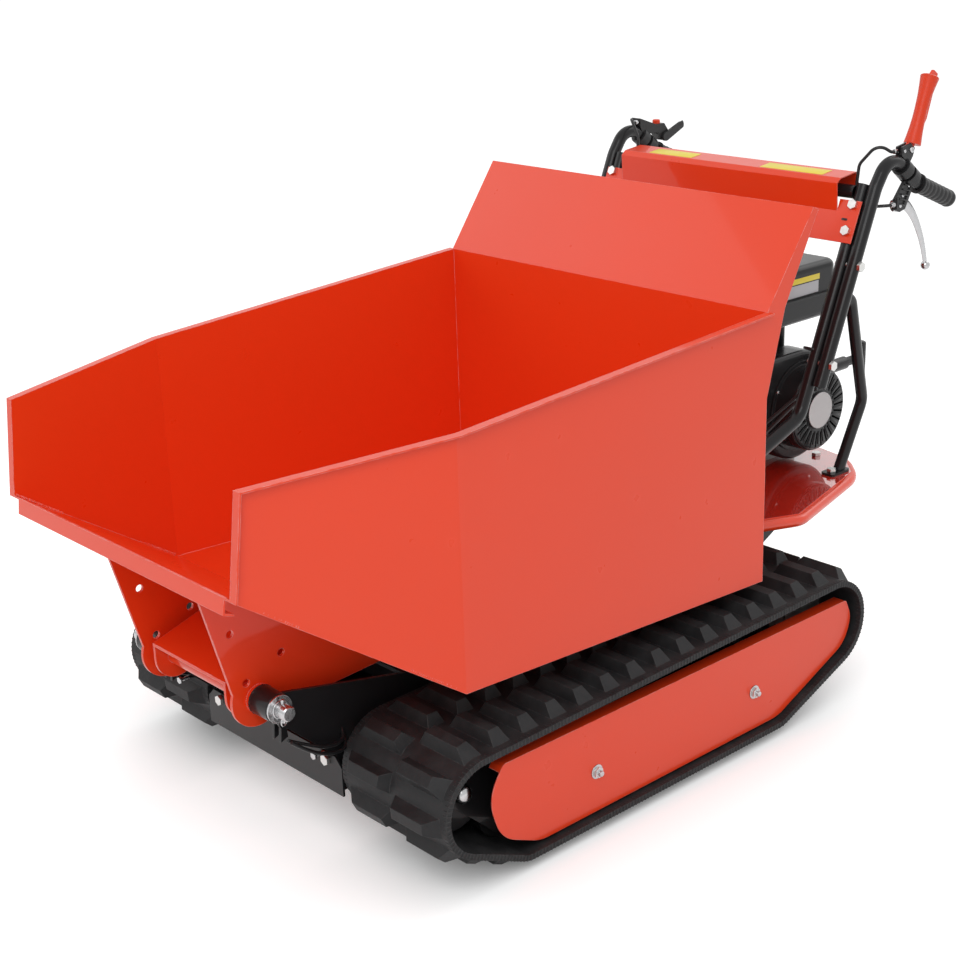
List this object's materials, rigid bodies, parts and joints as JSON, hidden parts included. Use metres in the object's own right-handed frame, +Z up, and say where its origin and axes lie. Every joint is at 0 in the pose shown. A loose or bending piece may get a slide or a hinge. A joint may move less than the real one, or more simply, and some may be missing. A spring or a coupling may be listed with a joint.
{
  "type": "tracked power carrier",
  "caption": "Walk-behind tracked mini dumper with a tipping open bed, rubber tracks, petrol engine on a rear deck and handlebars.",
  "frame": {"origin": "middle of the overall box at ground level, under the lug crests", "axes": "+X to the recoil starter's side, +Y towards the operator's grips, +Z up"},
  "size_m": [0.882, 1.672, 1.1165],
  "materials": {
    "red_paint": "gloss paint",
    "black_paint": "satin paint",
    "track_rubber": "moulded matt",
    "grip_rubber": "soft matt",
    "zinc_steel": "zinc plated",
    "cast_alloy": "as cast",
    "engine_black": "black moulding",
    "deck_plate": "bright plate",
    "black_plastic": "moulded",
    "red_plastic": "moulded",
    "cable_sleeve": "smooth"
  },
  "bodies": {
    "chassis": {"air_cleaner": "black_plastic", "bed_rest_pads": "track_rubber", "belt_guard": "black_paint", "blower_housing": "engine_black", "bolts": "zinc_steel", "brake_perches": "black_plastic", "carburettor": "cast_alloy", "chassis_frame": "black_paint", "control_brackets": "black_plastic", "control_cables": "cable_sleeve", "cowling": "red_paint", "crankcase": "cast_alloy", "cross_tube": "black_paint", "cylinder_head": "cast_alloy", "drive_belt": "track_rubber", "engine_deck": "deck_plate", "front_guard_plate": "black_paint", "fuel_tank": "black_paint", "gearbox": "cast_alloy", "grip_left": "grip_rubber", "grip_right": "grip_rubber", "handle_stays": "black_paint", "handlebar_left": "black_paint", "handlebar_right": "black_paint", "muffler": "zinc_steel", "pin_hardware": "zinc_steel", "pivot_pin": "zinc_steel", "recoil_cover": "engine_black", "riser_left": "black_paint", "riser_right": "black_paint", "spark_plug": "black_plastic", "track_axles": "zinc_steel", "track_belt_left": "track_rubber", "track_belt_right": "track_rubber", "track_cover_left": "red_paint", "track_cover_right": "red_paint", "track_frame_left": "black_paint", "track_frame_right": "black_paint"},
    "bed": {"bed_shell": "red_paint", "pivot_gussets": "red_paint", "pivot_bracket": "red_paint"},
    "crankshaft": {"crankshaft": "zinc_steel"},
    "gearbox_pulley": {"gearbox_pulley": "zinc_steel"},
    "clutch_lever": {"clutch_lever": "red_paint"},
    "throttle_lever": {"throttle_lever": "black_plastic"},
    "stop_switch": {"stop_switch": "red_plastic"},
    "fuel_cap": {"fuel_cap": "black_plastic"},
    "starter_grip": {"starter_grip": "black_plastic"},
    "idler_right": {"idler_right": "black_paint"},
    "drive_sprocket_right": {"drive_sprocket_right": "zinc_steel"},
    "brake_lever_right": {"brake_lever_right": "cast_alloy"},
    "roller_right_1": {"roller_right_1": "black_paint"},
    "roller_right_2": {"roller_right_2": "black_paint"},
    "roller_right_3": {"roller_right_3": "black_paint"},
    "idler_left": {"idler_left": "black_paint"},
    "drive_sprocket_left": {"drive_sprocket_left": "zinc_steel"},
    "brake_lever_left": {"brake_lever_left": "cast_alloy"},
    "roller_left_1": {"roller_left_1": "black_paint"},
    "roller_left_2": {"roller_left_2": "black_paint"},
    "roller_left_3": {"roller_left_3": "black_paint"}
  },
  "joints": [
    {"name": "bed_tip", "type": "hinge", "parent": "chassis", "child": "bed", "pos_m": [0, -0.685, 0.296], "axis": [1, 0, 0], "range_deg": [0, 75]},
    {"name": "sprocket_right_spin", "type": "hinge", "parent": "chassis", "child": "drive_sprocket_right", "pos_m": [0.316, 0.367, 0.167], "axis": [1, 0, 0], "continuous": true},
    {"name": "idler_right_spin", "type": "hinge", "parent": "chassis", "child": "idler_right", "pos_m": [0.316, -0.494, 0.15], "axis": [1, 0, 0], "continuous": true},
    {"name": "roller_right_1_spin", "type": "hinge", "parent": "chassis", "child": "roller_right_1", "pos_m": [0.316, -0.399, 0.074], "axis": [1, 0, 0], "continuous": true},
    {"name": "roller_right_2_spin", "type": "hinge", "parent": "chassis", "child": "roller_right_2", "pos_m": [0.316, -0.094, 0.074], "axis": [1, 0, 0], "continuous": true},
    {"name": "roller_right_3_spin", "type": "hinge", "parent": "chassis", "child": "roller_right_3", "pos_m": [0.316, 0.211, 0.074], "axis": [1, 0, 0], "continuous": true},
    {"name": "sprocket_left_spin", "type": "hinge", "parent": "chassis", "child": "drive_sprocket_left", "pos_m": [-0.316, 0.367, 0.167], "axis": [1, 0, 0], "continuous": true},
    {"name": "idler_left_spin", "type": "hinge", "parent": "chassis", "child": "idler_left", "pos_m": [-0.316, -0.494, 0.15], "axis": [1, 0, 0], "continuous": true},
    {"name": "roller_left_1_spin", "type": "hinge", "parent": "chassis", "child": "roller_left_1", "pos_m": [-0.316, -0.399, 0.074], "axis": [1, 0, 0], "continuous": true},
    {"name": "roller_left_2_spin", "type": "hinge", "parent": "chassis", "child": "roller_left_2", "pos_m": [-0.316, -0.094, 0.074], "axis": [1, 0, 0], "continuous": true},
    {"name": "roller_left_3_spin", "type": "hinge", "parent": "chassis", "child": "roller_left_3", "pos_m": [-0.316, 0.211, 0.074], "axis": [1, 0, 0], "continuous": true},
    {"name": "crankshaft_spin", "type": "hinge", "parent": "chassis", "child": "crankshaft", "pos_m": [0, 0.619, 0.471], "axis": [1, 0, 0], "continuous": true},
    {"name": "gearbox_pulley_spin", "type": "hinge", "parent": "chassis", "child": "gearbox_pulley", "pos_m": [-0.14, 0.43, 0.268], "axis": [1, 0, 0], "continuous": true},
    {"name": "brake_lever_right_squeeze", "type": "hinge", "parent": "chassis", "child": "brake_lever_right", "pos_m": [0.3253, 0.667, 0.88], "axis": [1, 0, 0], "range_deg": [0, 25], "stiffness_Nm_per_rad": 1, "springref_deg": -17.19},
    {"name": "brake_lever_left_squeeze", "type": "hinge", "parent": "chassis", "child": "brake_lever_left", "pos_m": [-0.3253, 0.667, 0.88], "axis": [1, 0, 0], "range_deg": [0, 25], "stiffness_Nm_per_rad": 1, "springref_deg": -17.19},
    {"name": "clutch_lever_press", "type": "hinge", "parent": "chassis", "child": "clutch_lever", "pos_m": [0.3253, 0.688, 0.98], "axis": [1, 0, 0], "range_deg": [-60, 0], "stiffness_Nm_per_rad": 1, "springref_deg": 17.19},
    {"name": "throttle_lever_set", "type": "hinge", "parent": "chassis", "child": "throttle_lever", "pos_m": [-0.3133, 0.734, 0.942], "axis": [1, 0, 0], "range_deg": [0, 50]},
    {"name": "stop_switch_push", "type": "slide", "parent": "chassis", "child": "stop_switch", "axis": [0, 0, -1], "range_m": [0, 0.003], "stiffness_N_per_m": 300, "springref_m": -0.002},
    {"name": "fuel_cap_turn", "type": "hinge", "parent": "chassis", "child": "fuel_cap", "pos_m": [-0.01, 0.613, 0.756], "axis": [0, 0, 1], "range_deg": [0, 90]},
    {"name": "starter_pull", "type": "slide", "parent": "chassis", "child": "starter_grip", "axis": [0, 1, 0], "range_m": [0, 0.35], "stiffness_N_per_m": 40, "springref_m": -0.1}
  ],
  "couplings": [
    {"joint": "idler_right_spin", "follows": "sprocket_right_spin", "ratio": 1.0135},
    {"joint": "roller_right_1_spin", "follows": "sprocket_right_spin", "ratio": 1.6667},
    {"joint": "roller_right_2_spin", "follows": "sprocket_right_spin", "ratio": 1.6667},
    {"joint": "roller_right_3_spin", "follows": "sprocket_right_spin", "ratio": 1.6667},
    {"joint": "idler_left_spin", "follows": "sprocket_left_spin", "ratio": 1.0135},
    {"joint": "roller_left_1_spin", "follows": "sprocket_left_spin", "ratio": 1.6667},
    {"joint": "roller_left_2_spin", "follows": "sprocket_left_spin", "ratio": 1.6667},
    {"joint": "roller_left_3_spin", "follows": "sprocket_left_spin", "ratio": 1.6667},
    {"joint": "gearbox_pulley_spin", "follows": "crankshaft_spin", "ratio": 0.65957}
  ]
}
